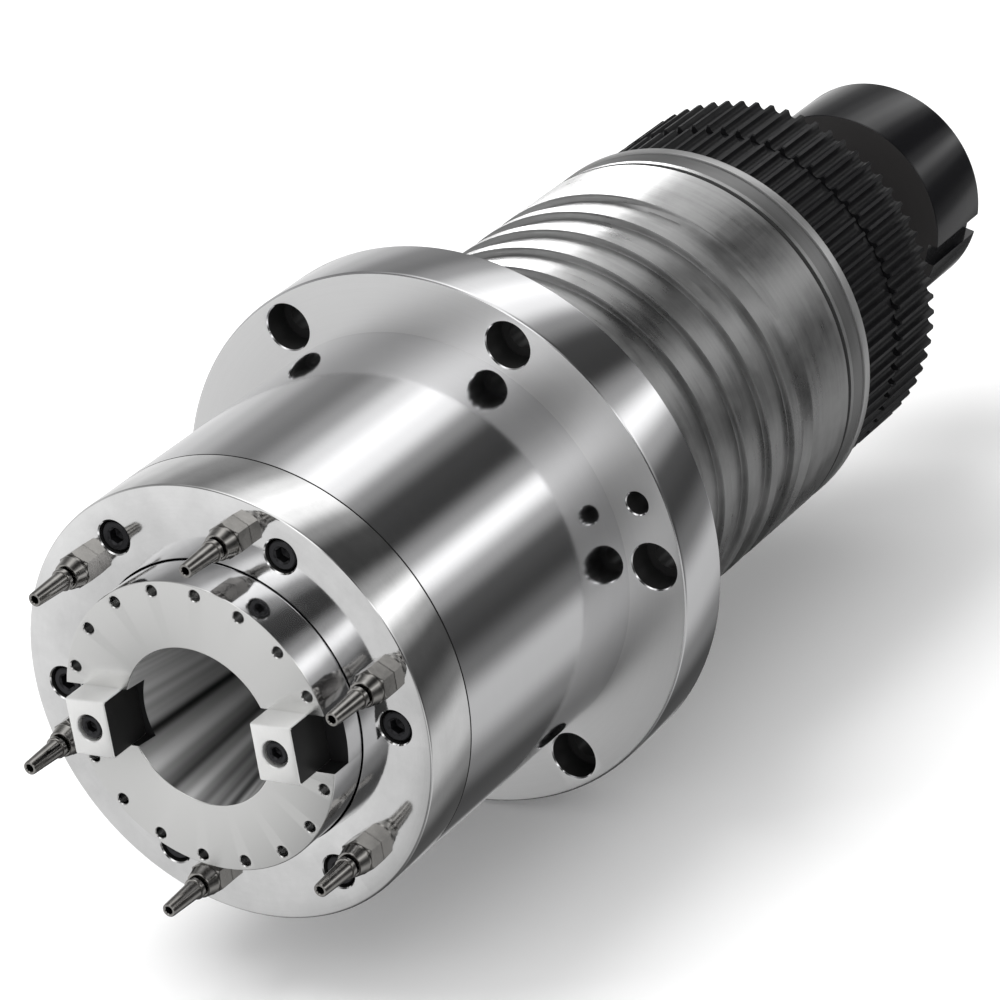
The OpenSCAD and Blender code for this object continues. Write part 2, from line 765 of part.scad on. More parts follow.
module tail_adapter_screws() {
    color("#1a1a1c") lay() around(6, adapter_screw_r)
        translate([0, 0, shaft_end_z - adapter_t]) mirror([0, 0, 1]) cap_screw(m5, adapter_t + 12);
}

module tail_disc() {
    color("#18181a") lay() difference() {
        rotate_extrude() polygon([
            [0, disc_z], [disc_r - 0.6, disc_z], [disc_r, disc_z - 0.6],
            [disc_r, tail_z + 1], [disc_r - 1, tail_z], [0, tail_z]
        ]);
        disc(disc_z - disc_spigot_h, disc_z + past, disc_spigot_r);
        disc(tail_z - past, disc_z, drawbar_tail_r + 1);
        disc(tail_z - past, disc_z - disc_web, cap_counter_r);
        disc(tail_z - past, tail_z + tail_register_h, tail_register_r);
        around(4, disc_screw_r, 45) disc(disc_z - disc_web - past, disc_z + past, m6[0]);
        around(2, 0, slot_angle) translate([disc_r - slot_depth, -slot_w / 2, tail_z - past])
            cube([slot_depth + past, slot_w, disc_l + 2 * past]);
    }
}

module tail_disc_screws() {
    color("#1a1a1c") lay() around(4, disc_screw_r, 45)
        translate([0, 0, disc_z - disc_web]) mirror([0, 0, 1]) cap_screw(m6, disc_web + 12);
}

module drawbar() {
    color("gainsboro") lay() union() {
        disc(grip_neck_z + grip_neck_h, grip_neck_z + grip_neck_h + grip_head_h, grip_head_r);
        disc(grip_neck_z, grip_neck_z + grip_neck_h, grip_neck_r);
        disc(collar_z - collar_h, grip_neck_z, drawbar_r);
        disc(push_cap_z - push_cap_h + 4, collar_z - collar_h, drawbar_tail_r);
    }
}

module spring_collar() {
    color("dimgray") lay() tube(collar_z - collar_h, collar_z, spring_bore_r - run_fit, drawbar_r);
}

module push_cap() {
    color("gray") lay() difference() {
        disc(push_cap_z - push_cap_h, push_cap_z, drawbar_tail_r + 2.5);
        disc(push_cap_z - push_cap_h + 4, push_cap_z + past, drawbar_tail_r);
    }
}

// Stack of disc springs, each turned over against the next
module disc_springs() {
    pitch = spring_l / spring_count;
    inner_r = drawbar_r + 0.4;
    outer_r = spring_bore_r - 0.6;
    thick = pitch * 0.65;
    rise = pitch - thick - 0.02;
    color("slategray") lay() for (i = [0:spring_count - 1]) translate([0, 0, collar_z + i * pitch])
        rotate_extrude() polygon(i % 2 == 0
            ? [[inner_r, 0.01], [outer_r, rise], [outer_r, rise + thick], [inner_r, thick]]
            : [[inner_r, rise], [outer_r, 0.01], [outer_r, thick], [inner_r, rise + thick]]);
}

// Claw k of the gripper: its foot hooks behind the drawbar's head, its tip round a pull stud
module gripper_claw(k) {
    foot_z = grip_neck_z + claw_play;
    foot_h = grip_neck_h - 2 * claw_play;
    color("slategray") lay() rotate([0, 0, (k - 1) * 360 / claw_count])
        rotate([0, 0, -claw_span / 2]) rotate_extrude(angle = claw_span) polygon([
            [grip_neck_r + claw_play, foot_z], [claw_wall_r + 3, foot_z],
            [claw_wall_r + 3, foot_z + claw_l * 0.6], [claw_out_r, foot_z + claw_l * 0.7],
            [claw_out_r, foot_z + claw_l * 0.9], [claw_out_r - 2, foot_z + claw_l],
            [claw_wall_r - 2, foot_z + claw_l], [claw_wall_r - 4, foot_z + claw_l - 2],
            [claw_wall_r - 4, foot_z + claw_l * 0.85], [claw_wall_r, foot_z + claw_l * 0.75],
            [claw_wall_r, foot_z + foot_h], [grip_neck_r + claw_play, foot_z + foot_h]
        ]);
}

module gripper_claw_1() { gripper_claw(1); }
module gripper_claw_2() { gripper_claw(2); }
module gripper_claw_3() { gripper_claw(3); }
module gripper_claw_4() { gripper_claw(4); }

housing();
cooling_jacket();
body_o_rings();
nozzle_cover();
cover_screws();
cover_o_rings();
nozzle_bodies();
nozzle_caps();
front_bearing_outer_rings();
front_outer_spacer();
rear_bearing_outer_rings();
rear_outer_spacer();
rear_cover();
rear_cover_screws();
rear_cover_o_ring();
spindle_shaft();
drive_keys();
key_screws();
labyrinth_ring();
front_bearing_inner_rings();
front_inner_spacer();
front_lock_nut();
rear_bearing_inner_rings();
rear_inner_spacer();
rear_lock_nut();
belt_pulley();
pulley_key();
pulley_lock_nut();
tail_adapter();
tail_adapter_screws();
tail_disc();
tail_disc_screws();
front_bearing_balls();
front_bearing_cages();
rear_bearing_balls();
rear_bearing_cages();
drawbar();
spring_collar();
push_cap();
disc_springs();
gripper_claw_1();
gripper_claw_2();
gripper_claw_3();
gripper_claw_4();
nozzle_tube_1();
nozzle_tube_2();
nozzle_tube_3();
nozzle_tube_4();
nozzle_tube_5();
nozzle_tube_6();
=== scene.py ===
import math

import bmesh
import bpy
import numpy as np
from mathutils import Matrix, Vector


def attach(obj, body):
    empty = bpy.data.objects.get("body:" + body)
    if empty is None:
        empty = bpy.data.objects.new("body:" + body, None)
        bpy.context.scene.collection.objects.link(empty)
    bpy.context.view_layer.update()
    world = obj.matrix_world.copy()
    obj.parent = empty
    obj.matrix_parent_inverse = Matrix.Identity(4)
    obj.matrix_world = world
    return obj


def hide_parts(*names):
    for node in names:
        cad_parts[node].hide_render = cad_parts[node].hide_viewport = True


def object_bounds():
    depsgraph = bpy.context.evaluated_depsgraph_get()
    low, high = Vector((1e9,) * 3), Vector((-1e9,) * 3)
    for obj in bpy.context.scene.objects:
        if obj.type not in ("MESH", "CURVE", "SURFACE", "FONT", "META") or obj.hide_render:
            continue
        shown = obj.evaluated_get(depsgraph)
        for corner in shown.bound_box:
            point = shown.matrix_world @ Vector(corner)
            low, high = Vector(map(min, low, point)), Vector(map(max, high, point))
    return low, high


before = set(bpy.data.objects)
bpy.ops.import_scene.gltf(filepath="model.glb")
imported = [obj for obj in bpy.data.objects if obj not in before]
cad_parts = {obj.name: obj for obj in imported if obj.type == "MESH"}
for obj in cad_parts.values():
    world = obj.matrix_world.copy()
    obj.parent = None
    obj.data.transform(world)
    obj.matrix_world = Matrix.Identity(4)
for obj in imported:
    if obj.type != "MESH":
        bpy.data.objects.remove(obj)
cad_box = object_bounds()

# Camera: the photograph's viewing angle, solved from the coaxial circles of the object.
# Azimuth is measured from the nose side, roll is the tilt of the picture's upright.
VIEW_AZIMUTH = math.radians(34.89)
VIEW_ELEVATION = math.radians(23.03)
VIEW_ROLL = math.radians(-9.32)
CAMERA_PLACE = (1.0899, -1.5374, 0.8048)
LENS_MM = 171.25

level_right = Vector((math.cos(VIEW_AZIMUTH), math.sin(VIEW_AZIMUTH), 0.0))
backward = Vector((
    math.sin(VIEW_AZIMUTH) * math.cos(VIEW_ELEVATION),
    -math.cos(VIEW_AZIMUTH) * math.cos(VIEW_ELEVATION),
    math.sin(VIEW_ELEVATION),
))
level_up = backward.cross(level_right)
right = level_right * math.cos(VIEW_ROLL) + level_up * math.sin(VIEW_ROLL)
upward = backward.cross(right)
turn = Matrix((right, upward, backward)).transposed().to_4x4()
camera_data = bpy.data.cameras.new("camera")
camera_data.lens = LENS_MM
camera_data.sensor_width = 36.0
camera_data.clip_end = 60.0
camera = bpy.data.objects.new("camera", camera_data)
camera.matrix_world = Matrix.Translation(CAMERA_PLACE) @ turn
bpy.context.scene.collection.objects.link(camera)
bpy.context.scene.camera = camera
bpy.context.scene.view_settings.view_transform = "Standard"


# Studio: a white room. Metal sees soft light and dark panels that stand all round the
# spindle's axis, so each turned surface shows long streaks from end to end.
def wire(tree, start, end):
    """Joins output socket start to input socket end."""
    tree.links.new(start, end)


def node_of(tree, kind, inputs=None, **settings):
    """Adds a shader node, sets its properties and its unlinked inputs."""
    made = tree.nodes.new(kind)
    for key, value in settings.items():
        setattr(made, key, value)
    for key, value in (inputs or {}).items():
        made.inputs[key].default_value = value
    return made


def maths(tree, operation, first, second=None):
    """One Math node: first and second are sockets or numbers."""
    made = node_of(tree, "ShaderNodeMath", operation=operation)
    for slot, value in zip(made.inputs, (first, second)):
        if isinstance(value, (int, float)):
            slot.default_value = value
        elif value is not None:
            wire(tree, value, slot)
    return made.outputs[0]


def ramp_of(tree, value, stops, ease="EASE"):
    """Maps a 0 to 1 value through grey stops, each (position, grey or colour)."""
    ramp = node_of(tree, "ShaderNodeValToRGB")
    ramp.color_ramp.interpolation = ease
    marks = ramp.color_ramp.elements
    while len(marks) < len(stops):
        marks.new(0.5)
    for mark, (place, tone) in zip(marks, sorted(stops)):
        mark.position = place
        mark.color = (tone, tone, tone, 1.0) if isinstance(tone, (int, float)) else (*tone, 1.0)
    wire(tree, value, ramp.inputs[0])
    return ramp.outputs[0]


# Brightness of the room by angle round the axis, in degrees, 0 at +X and 90 at +Z
PANELS = (
    (-180, 0.50), (-157, 0.60), (-139, 0.45), (-121, 0.06), (-98, 0.05), (-76, 0.16), (-55, 0.40),
    (-42, 0.42), (-26, 0.13), (-11, 0.04), (2, 0.06), (13, 0.30), (25, 1.00), (36, 0.28),
    (48, 0.03), (62, 0.04), (74, 0.22), (86, 0.80), (97, 1.02), (108, 0.68), (121, 0.28),
    (134, 0.15), (148, 0.19), (166, 0.38), (180, 0.50),
)
PANEL_STRENGTH = 1.35
ROOM_STRENGTH = 0.95

world = bpy.data.worlds.new("studio")
bpy.context.scene.world = world
world.use_nodes = True
room = world.node_tree
room.nodes.clear()
room_axes = node_of(room, "ShaderNodeSeparateXYZ")
wire(room, node_of(room, "ShaderNodeTexCoord").outputs["Generated"], room_axes.inputs[0])
turn_angle = maths(room, "ARCTAN2", room_axes.outputs["Z"], room_axes.outputs["X"])
turn_share = maths(room, "ADD", maths(room, "MULTIPLY", turn_angle, 0.5 / math.pi), 0.5)
panel_tone = ramp_of(room, turn_share, [((a + 180) / 360, t) for a, t in PANELS])
panel_light = node_of(room, "ShaderNodeBackground", {"Strength": PANEL_STRENGTH})
wire(room, panel_tone, panel_light.inputs["Color"])
room_light = node_of(room, "ShaderNodeBackground", {"Color": (1, 1, 1, 1), "Strength": ROOM_STRENGTH})
seen_light = node_of(room, "ShaderNodeBackground", {"Color": (1, 1, 1, 1), "Strength": 1.0})
rays = node_of(room, "ShaderNodeLightPath")
glossy_mix = node_of(room, "ShaderNodeMixShader")
wire(room, rays.outputs["Is Glossy Ray"], glossy_mix.inputs[0])
wire(room, room_light.outputs[0], glossy_mix.inputs[1])
wire(room, panel_light.outputs[0], glossy_mix.inputs[2])
camera_mix = node_of(room, "ShaderNodeMixShader")
wire(room, rays.outputs["Is Camera Ray"], camera_mix.inputs[0])
wire(room, glossy_mix.outputs[0], camera_mix.inputs[1])
wire(room, seen_light.outputs[0], camera_mix.inputs[2])
wire(room, camera_mix.outputs[0], node_of(room, "ShaderNodeOutputWorld").inputs[0])

FLOOR_DROP = 0.0015
FLOOR_HALF = 20.0
floor_height = cad_box[0][2] - FLOOR_DROP
floor_mesh = bpy.data.meshes.new("floor")
corners = [(-1, -1), (1, -1), (1, 1), (-1, 1)]
floor_mesh.from_pydata([(FLOOR_HALF * x, FLOOR_HALF * y, floor_height) for x, y in corners], [], [(0, 1, 2, 3)])
floor = bpy.data.objects.new("floor", floor_mesh)
floor.visible_glossy = False
bpy.context.scene.collection.objects.link(floor)
paper = bpy.data.materials.new("floor_paper")
paper.use_nodes = True
paper.node_tree.nodes["Principled BSDF"].inputs["Base Color"].default_value = (0.98, 0.98, 0.98, 1)
paper.node_tree.nodes["Principled BSDF"].inputs["Roughness"].default_value = 1.0
paper.node_tree.nodes["Principled BSDF"].inputs["Specular IOR Level"].default_value = 0.0
floor_mesh.materials.append(paper)


def soft_lamp(name, place, aim, size, watts):
    """A square soft lamp at place, turned to shine at aim, kept out of mirror images."""
    lamp_data = bpy.data.lights.new(name, "AREA")
    lamp_data.size = size
    lamp_data.energy = watts
    lamp = bpy.data.objects.new(name, lamp_data)
    towards = Vector(aim) - Vector(place)
    lamp.matrix_world = Matrix.Translation(place) @ towards.to_track_quat("-Z", "Y").to_matrix().to_4x4()
    lamp.visible_glossy = False
    bpy.context.scene.collection.objects.link(lamp)
    return lamp


soft_lamp("key_lamp", (-0.9, -0.3, 2.2), (0, 0.1, 0), 1.4, 32.0)

# Seals: black rubber cords, round in section, in the square grooves of the jacket's two lands.
# Every turned piece is made like them, as a closed row of rings round the Y axis.
MM = 0.001


def spun(rows, segments, centre=(0.0, 0.0), closed=True):
    """Rings round an axis along Y. Point (k, i) is centre + radius_k(a_i) * (cos a_i, sin a_i)
    at height y_k, with a_i = i / segments of a turn. Sizes are in millimetres."""
    angle = np.arange(segments) * 2 * np.pi / segments
    radius = np.array([np.broadcast_to(r(angle) if callable(r) else r, angle.shape) for r, _ in rows])
    height = np.array([np.broadcast_to(y(angle) if callable(y) else y, angle.shape) for _, y in rows])
    x = centre[0] + radius * np.cos(angle)
    z = centre[1] + radius * np.sin(angle)
    points = np.stack([x, height, z], axis=-1).reshape(-1, 3) * MM
    count = len(rows)
    k = np.arange(count if closed else count - 1)[:, None]
    i = np.arange(segments)[None, :]
    k_next = (k + 1) % count
    i_next = (i + 1) % segments
    quads = np.stack([k * segments + i, k_next * segments + i, k_next * segments + i_next,
                      k * segments + i_next], axis=-1).reshape(-1, 4)
    return points, quads


def joined(parts):
    """One list of points and faces from several."""
    points, faces, base = [], [], 0
    for part_points, part_faces in parts:
        points.append(part_points)
        faces.append(np.asarray(part_faces) + base)
        base += len(part_points)
    return np.concatenate(points), np.concatenate(faces)


def mesh_of(name, part):
    """Makes a mesh object from points and faces, welded, with its faces turned outwards."""
    points, faces = part
    mesh = bpy.data.meshes.new(name)
    mesh.from_pydata(points.tolist(), [], [tuple(f) for f in np.asarray(faces).tolist()])
    shape = bmesh.new()
    shape.from_mesh(mesh)
    bmesh.ops.remove_doubles(shape, verts=shape.verts, dist=1e-7)
    bmesh.ops.dissolve_degenerate(shape, edges=shape.edges, dist=1e-7)
    bmesh.ops.recalc_face_normals(shape, faces=shape.faces)
    shape.to_mesh(mesh)
    shape.free()
    piece = bpy.data.objects.new(name, mesh)
    bpy.context.scene.collection.objects.link(piece)
    return piece


def smooth(piece, degrees=22.0):
    """Smooth shading, with edges sharper than the angle kept crisp."""
    piece.data.polygons.foreach_set("use_smooth", np.ones(len(piece.data.polygons), bool))
    piece.data.set_sharp_from_angle(angle=math.radians(degrees))
    return piece


def finish_piece(piece, body, slot, material, *nodes):
    """Gives a piece its material and body, and hides the CAD nodes that it stands for. The record slot is not used.
    """
    piece.data.materials.clear()
    piece.data.materials.append(material)
    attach(piece, body)
    if nodes:
        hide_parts(*nodes)


def turned_metal(name, colour, metallic=1.0, roughness=0.2, lines=0.15, line_pitch=0.0008,
                 blotch=0.0, blotch_size=0.03, anisotropy=0.0, ior=1.5, rough_spread=0.05, painted_reflection_streaks=0.0):
    """Turned or ground metal. Fine lines run round the axis: noise over (cos a, y + r, sin a),
    stretched along the turn. Painted reflection streaks run along the axis: light and dark base colour
    from noise over (cos a, sin a). Blotches of colour and roughness lie over them. The grain's tangent runs round
    the axis."""
    made = bpy.data.materials.new(name)
    made.use_nodes = True
    tree = made.node_tree
    metal = tree.nodes["Principled BSDF"]
    metal.inputs["Metallic"].default_value = metallic
    metal.inputs["IOR"].default_value = ior
    metal.inputs["Anisotropic"].default_value = anisotropy
    metal.inputs["Anisotropic Rotation"].default_value = 0.25
    if anisotropy:
        wire(tree, node_of(tree, "ShaderNodeTangent", direction_type="RADIAL", axis="Y").outputs[0],
             metal.inputs["Tangent"])
    place = node_of(tree, "ShaderNodeTexCoord").outputs["Object"]
    axes = node_of(tree, "ShaderNodeSeparateXYZ")
    wire(tree, place, axes.inputs[0])
    x, y, z = axes.outputs
    r = maths(tree, "SQRT", maths(tree, "ADD", maths(tree, "MULTIPLY", x, x), maths(tree, "MULTIPLY", z, z)))
    r = maths(tree, "MAXIMUM", r, 1e-5)
    cosine = maths(tree, "MULTIPLY", maths(tree, "DIVIDE", x, r), 2.0)
    sine = maths(tree, "MULTIPLY", maths(tree, "DIVIDE", z, r), 2.0)

    def noise(vector_parts, scale, detail):
        """Noise about 0, between -0.5 and 0.5, over a vector of three sockets or numbers."""
        vector = node_of(tree, "ShaderNodeCombineXYZ")
        for slot, value in zip(vector.inputs, vector_parts):
            if not isinstance(value, (int, float)):
                wire(tree, value, slot)
        made_noise = node_of(tree, "ShaderNodeTexNoise", {"Scale": scale, "Detail": detail, "Roughness": 0.6})
        wire(tree, vector.outputs[0], made_noise.inputs["Vector"])
        return maths(tree, "SUBTRACT", made_noise.outputs[0], 0.5)

    fine = noise((cosine, maths(tree, "DIVIDE", maths(tree, "ADD", y, r), line_pitch), sine), 1.0, 4.0)
    cloud = noise((x, y, z), 1.0 / blotch_size, 5.0)
    tone = maths(tree, "ADD", 1.0, maths(tree, "MULTIPLY", fine, lines))
    tone = maths(tree, "ADD", tone, maths(tree, "MULTIPLY", cloud, blotch))
    # Painted reflection: light and dark streaks along the axis, put into the base colour.
    if painted_reflection_streaks:
        tone = maths(tree, "ADD", tone, maths(tree, "MULTIPLY", noise((cosine, 0.0, sine), 1.1, 2.0), painted_reflection_streaks))
    tone = maths(tree, "MAXIMUM", tone, 0.03)
    tint = node_of(tree, "ShaderNodeMix", data_type="RGBA", blend_type="MULTIPLY")
    tint.inputs["Factor"].default_value = 1.0
    tint.inputs[6].default_value = (*colour, 1.0)
    grey = node_of(tree, "ShaderNodeCombineColor")
    for slot in grey.inputs:
        wire(tree, tone, slot)
    wire(tree, grey.outputs[0], tint.inputs[7])
    wire(tree, tint.outputs[2], metal.inputs["Base Color"])
    gloss = maths(tree, "ADD", roughness, maths(tree, "MULTIPLY", cloud, rough_spread + blotch * 0.3))
    gloss = maths(tree, "ADD", gloss, maths(tree, "MULTIPLY", fine, lines * 0.3))
    wire(tree, maths(tree, "MAXIMUM", gloss, 0.02), metal.inputs["Roughness"])
    bump = node_of(tree, "ShaderNodeBump", {"Strength": min(1.0, lines * 1.5), "Distance": line_pitch * 0.05})
    wire(tree, fine, bump.inputs["Height"])
    wire(tree, bump.outputs[0], metal.inputs["Normal"])
    return made


SLEEVE_R = 92.5
CORD_R = 1.5
rubber = turned_metal("rubber_cord", (0.012, 0.012, 0.012), metallic=0.0, roughness=0.55, lines=0.2,
                      blotch=0.5, blotch_size=0.004)
cord_turn = np.linspace(0, 2 * np.pi, 16, endpoint=False)
cords = []
for middle in (16, 180):
    ring = [(SLEEVE_R - CORD_R * (1 - math.cos(a)), middle + CORD_R * math.sin(a)) for a in cord_turn]
    cords.append(spun(ring, 160))
body_cords = mesh_of("body_cords", joined(cords))
finish_piece(smooth(body_cords, 60), "cartridge", "rubber_seal", rubber, "body_o_rings")

# Cooling jacket: a dull turned sleeve on the body behind the flange. Water runs round it in
# a shallow right-hand helical groove, and a grooved land at each end holds a seal.
JACKET_START = 12.0
JACKET_END = 184.0
GROOVE_START = 20.0
GROOVE_END = 144.0
GROOVE_LEAD = 21.5
GROOVE_DEPTH = 3.0
RIB_WIDTH = 6.5
WALL_SHARE = 0.04


def sleeve(heights, angle):
    """Radius of the jacket over arrays of height and angle: the groove's share of depth is 1
    between the ribs and eases to 0 over each wall by half a cosine, and to 0 over the last
    3 mm at both ends."""
    place = (-heights / GROOVE_LEAD - angle / (2 * np.pi)) % 1.0
    off = np.abs(place - 0.5)
    half = 0.5 - RIB_WIDTH / GROOVE_LEAD / 2
    share = np.where(off < half - WALL_SHARE, 1.0, np.where(
        off > half, 0.0, (1 + np.cos(np.pi * (off - half + WALL_SHARE) / WALL_SHARE)) / 2))
    fade = np.clip(np.minimum(heights - GROOVE_START, GROOVE_END - heights) / 3.0, 0, 1)
    return SLEEVE_R - GROOVE_DEPTH * share * fade


def helical(segments):
    """The grooved surface as rows that climb with the groove, so its edges stay crisp. Row k
    runs down by one lead in a turn and then goes on as the row of one lead below."""
    half = 0.5 - RIB_WIDTH / GROOVE_LEAD / 2
    offs = [half + 0.02, half] + [half - WALL_SHARE * t for t in (0.25, 0.5, 0.75, 1.0)] + [half - 0.1, 0.15]
    phases = sorted([0.0, 0.5] + [0.5 - o for o in offs] + [0.5 + o for o in offs])
    leads = math.ceil((GROOVE_END - GROOVE_START) / GROOVE_LEAD) + 2
    first = math.floor(GROOVE_START / GROOVE_LEAD) - 1
    levels = np.array([(first + n + p) * GROOVE_LEAD for n in range(leads + 1) for p in phases])
    angle = np.arange(segments) * 2 * np.pi / segments
    free = levels[:, None] + GROOVE_LEAD - angle[None, :] * GROOVE_LEAD / (2 * np.pi)
    heights = np.clip(free, GROOVE_START, GROOVE_END)
    radius = sleeve(heights, angle[None, :])
    points = np.stack([radius * np.cos(angle), heights, radius * np.sin(angle)], axis=-1).reshape(-1, 3) * MM
    k = np.arange(len(levels) - 1)[:, None]
    i = np.arange(segments)[None, :]
    i_next = (i + 1) % segments
    step = np.where(i_next == 0, len(phases), 0)
    low, high = np.maximum(k - step, 0), np.maximum(k + 1 - step, 0)
    quads = np.stack([k * segments + i + 0 * step, (k + 1) * segments + i + 0 * step,
                      high * segments + i_next, low * segments + i_next], axis=-1).reshape(-1, 4)
    return points, quads


jacket_metal = turned_metal("jacket_metal", (0.33, 0.33, 0.33), metallic=0.92, roughness=0.34, lines=0.55,
                            line_pitch=0.0026, blotch=1.5, blotch_size=0.040, rough_spread=0.10)
jacket_rows = [(82.6, JACKET_START), (SLEEVE_R - 0.4, JACKET_START), (SLEEVE_R, JACKET_START + 0.4),
               (SLEEVE_R, 14.5), (SLEEVE_R - 3, 14.5), (SLEEVE_R - 3, 17.5), (SLEEVE_R, 17.5)]
jacket_rows += [(SLEEVE_R, GROOVE_START)]
JACKET_STEPS = 240
front_land = spun(jacket_rows, JACKET_STEPS, closed=False)
jacket_rows = [(SLEEVE_R, GROOVE_END), (SLEEVE_R, 178.1), (SLEEVE_R - 0.4, 178.5), (SLEEVE_R - 3, 178.5), (SLEEVE_R - 3, 181.5),
                (SLEEVE_R - 0.4, 181.5), (SLEEVE_R - 0.4, JACKET_END), (82.6, JACKET_END), (82.6, JACKET_START)]
rear_land = spun(jacket_rows, JACKET_STEPS, closed=False)
jacket = mesh_of("water_jacket", joined([front_land, helical(JACKET_STEPS), rear_land]))
finish_piece(smooth(jacket, 35), "cartridge", "jacket_metal", jacket_metal, "cooling_jacket")
jacket_lamp = soft_lamp("jacket_lamp", (-1.25, 1.55, 0.95), (0, 0.1, 0), 1.2, 30.0)
jacket_lamp.visible_glossy = True
lit_by_it = bpy.data.collections.new("lit_by_jacket_lamp")
lit_by_it.objects.link(jacket)
jacket_lamp.light_linking.receiver_collection = lit_by_it

# Front housing and mounting flange: one forged steel piece, ground and polished in front of
# the flange, with six counterbored bolt holes and two jacking holes.
NOSE_Y = -207.0
COVER_Y = -187.0
SEAM_Y = -158.0
FLANGE_Y = -30.0
BODY_R = 97.0
FLANGE_R = 124.0
PILOT_R = 95.0
SPIGOT_R = 75.185
FLANGE_CIRCLE_R = 110.0
TURN_STEPS = 256


def eased(corners, steps=4):
    """Closed outline from corners (r, y, size): each corner with a size is rounded by an arc
    that leaves and meets its sides at that distance, as a quadratic curve."""
    outline = []
    for i, (r, y, size) in enumerate(corners):
        here = np.array((r, y), float)
        if size == 0:
            outline.append(tuple(here))
            continue
        before = np.array(corners[i - 1][:2], float) - here
        after = np.array(corners[(i + 1) % len(corners)][:2], float) - here
        start = here + before / np.linalg.norm(before) * size
        end = here + after / np.linalg.norm(after) * size
        for t in np.linspace(0, 1, steps + 1):
            outline.append(tuple((1 - t) ** 2 * start + 2 * t * (1 - t) * here + t * t * end))
    return outline


def drilled(piece, cutters):
    """Cuts the joined cutters out of the piece and keeps the finished mesh."""
    tool = mesh_of("tool", joined(cutters))
    cut = piece.modifiers.new("cut", "BOOLEAN")
    cut.operation = "DIFFERENCE"
    cut.solver = "EXACT"
    cut.object = tool
    depsgraph = bpy.context.evaluated_depsgraph_get()
    finished = bpy.data.meshes.new_from_object(piece.evaluated_get(depsgraph))
    piece.modifiers.clear()
    piece.data = finished
    bpy.data.objects.remove(tool)
    return piece


def hole(r, top, bottom, centre, flare=0.4, segments=48):
    """Cutter for a round hole along Y from top to bottom, with a flared mouth at the top."""
    way = 1 if bottom > top else -1
    rows = [(0, top - 2 * way), (r + flare, top - 2 * way), (r + flare, top), (r, top + flare * way),
            (r, bottom), (0, bottom)]
    return spun(rows, segments, centre, closed=False)


def on_circle(r, degrees):
    """Centre (x, z) of a feature at radius r and an angle round the axis."""
    return (r * math.cos(math.radians(degrees)), r * math.sin(math.radians(degrees)))


def paint(piece, finish, chosen):
    """Gives a second finish to the faces that chosen(centre, normal, from_axis) picks. Centres
    and distances from the axis are in millimetres."""
    faces = piece.data.polygons
    centre, normal = np.empty(len(faces) * 3), np.empty(len(faces) * 3)
    faces.foreach_get("center", centre)
    faces.foreach_get("normal", normal)
    centre = centre.reshape(-1, 3) / MM
    index = np.empty(len(faces), np.int32)
    faces.foreach_get("material_index", index)
    piece.data.materials.append(finish)
    picked = chosen(centre, normal.reshape(-1, 3), np.hypot(centre[:, 0], centre[:, 2]))
    index[picked] = len(piece.data.materials) - 1
    faces.foreach_set("material_index", index)


polished_steel = turned_metal("polished_steel", (0.80, 0.80, 0.81), roughness=0.10, lines=0.05,
                              line_pitch=0.0012, rough_spread=0.03)
satin_steel = turned_metal("satin_steel", (0.78, 0.78, 0.78), metallic=0.80, roughness=0.30, lines=0.06,
                           line_pitch=0.0010, anisotropy=0.4, rough_spread=0.04)
# Painted shade: a near-black finish for the walls of holes and grooves, where shade falls.
recess_painted_shade = turned_metal("recess_painted_shade", (0.045, 0.045, 0.045), metallic=0.5, roughness=0.42, lines=0.2)
housing_outline = eased([
    (SPIGOT_R, SEAM_Y, 0), (96.2, SEAM_Y, 0), (96.2, SEAM_Y + 0.55, 0), (BODY_R, SEAM_Y + 0.65, 0),
    (BODY_R, FLANGE_Y, 0), (FLANGE_R, FLANGE_Y, 1.6), (FLANGE_R, 0, 1.0), (PILOT_R, 0, 0),
    (PILOT_R, 12, 0.5), (82.5, 12, 0), (82.5, 184, 0), (70, 184, 0), (70, 128, 0), (66, 128, 0),
    (66, -45, 0), (75, -45, 0), (75, -151, 0), (SPIGOT_R, -151, 0),
])
housing_body = mesh_of("housing_body", spun(housing_outline, TURN_STEPS))
for number in range(6):
    spot = on_circle(FLANGE_CIRCLE_R, 60 * number)
    drilled(housing_body, [hole(10.5, FLANGE_Y, FLANGE_Y + 13, spot, flare=0.5, segments=64)])
    drilled(housing_body, [hole(6.75, FLANGE_Y + 12.9, 3, spot, flare=0, segments=48)])
for degrees in (15, 195):
    drilled(housing_body, [hole(5.1, FLANGE_Y, 3, on_circle(FLANGE_CIRCLE_R, degrees), flare=0.5)])
finish_piece(smooth(housing_body), "cartridge", "polished_steel", polished_steel, "housing")
paint(housing_body, satin_steel, lambda centre, normal, from_axis: (
    (normal[:, 1] < -0.9) & (from_axis > BODY_R) & (np.abs(centre[:, 1] - FLANGE_Y) < 0.1)))
# Painted shade: the walls of the flange's bolt and jacking holes are made near black.
paint(housing_body, recess_painted_shade, lambda centre, normal, from_axis: (
    (from_axis > 98) & (from_axis < 121.5) & (centre[:, 1] > FLANGE_Y + 0.6) & (centre[:, 1] < -0.2)))
# Painted shade: the faces of the narrow seam groove are made near black, so the seam shows as a dark line.
paint(housing_body, recess_painted_shade, lambda centre, normal, from_axis: (
    (from_axis > 96) & (from_axis < BODY_R - 0.02) & (centre[:, 1] > SEAM_Y - 0.1) & (centre[:, 1] < SEAM_Y + 0.6)))

